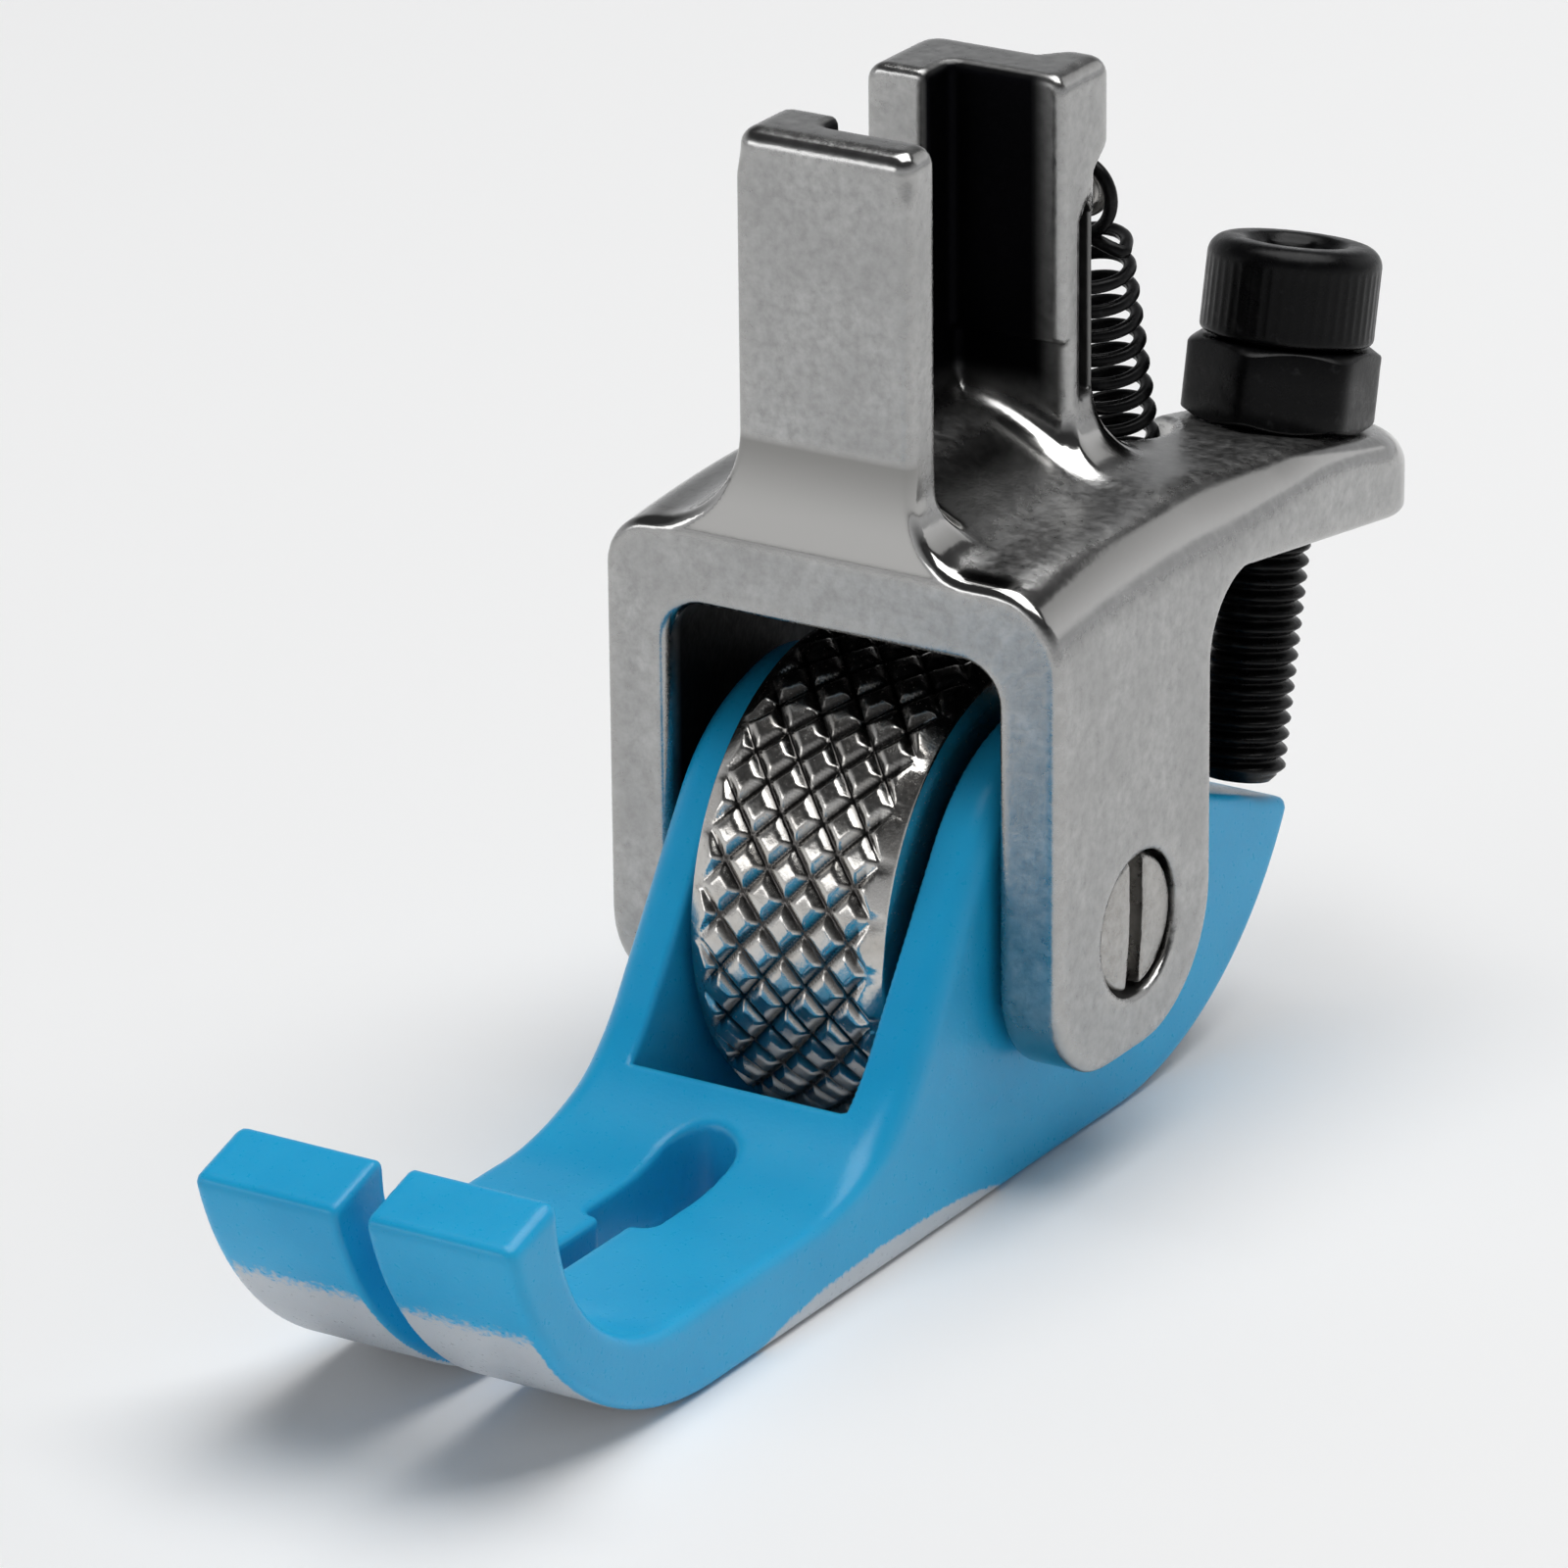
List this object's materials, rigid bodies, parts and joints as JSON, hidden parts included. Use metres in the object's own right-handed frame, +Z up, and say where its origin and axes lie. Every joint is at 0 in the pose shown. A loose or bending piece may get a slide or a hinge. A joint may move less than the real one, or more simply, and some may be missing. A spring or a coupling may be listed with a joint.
{
  "type": "roller presser foot",
  "caption": "Sewing-machine presser foot with a tilting sprung plastic sole, a knurled roller, a forked steel shank and a height-adjusting screw.",
  "frame": {"origin": "middle of the bounding box's base, on the flat bottom of the sole", "axes": "+Z up along the shank, -Y towards the toe, +X towards the open side of the presser-bar channel"},
  "size_m": [0.016, 0.0496, 0.0324],
  "materials": {
    "cast_steel": "polished casting with a satin front face",
    "blue_plastic": "satin self-coloured plastic",
    "roller_steel": "bright, diamond-knurled",
    "bronze": "plain bearing",
    "screw_steel": "turned",
    "black_oxide": "black oxide, semi-gloss",
    "spring_wire": "oiled black spring steel"
  },
  "bodies": {
    "yoke": {"yoke": "cast_steel", "pivot_screw": "screw_steel", "spring_post": "screw_steel", "tension_spring": "spring_wire"},
    "sole": {"sole": "blue_plastic", "heel_pin": "screw_steel"},
    "roller": {"knurled_roller": "roller_steel", "roller_bush": "bronze"},
    "adjusting_screw": {"adjusting_screw": "black_oxide"},
    "lock_nut": {"lock_nut": "black_oxide"}
  },
  "joints": [
    {"name": "sole_tilt", "type": "hinge", "parent": "yoke", "child": "sole", "pos_m": [0, 0.00581, 0.0078], "axis": [-1, 0, 0], "range_deg": [0, 12], "stiffness_Nm_per_rad": 0.1, "springref_deg": -11.46, "deforming": ["tension_spring"]},
    {"name": "roller_spin", "type": "hinge", "parent": "yoke", "child": "roller", "pos_m": [0, 0.00581, 0.0078], "axis": [1, 0, 0], "continuous": true},
    {"name": "screw_travel", "type": "slide", "parent": "yoke", "child": "adjusting_screw", "axis": [0, 0.2113, 0.9774], "range_m": [0, 0.003]},
    {"name": "nut_turn", "type": "hinge", "parent": "yoke", "child": "lock_nut", "pos_m": [0.0044, 0.02031, 0.01872], "axis": [0, 0.2113, 0.9774], "continuous": true}
  ]
}
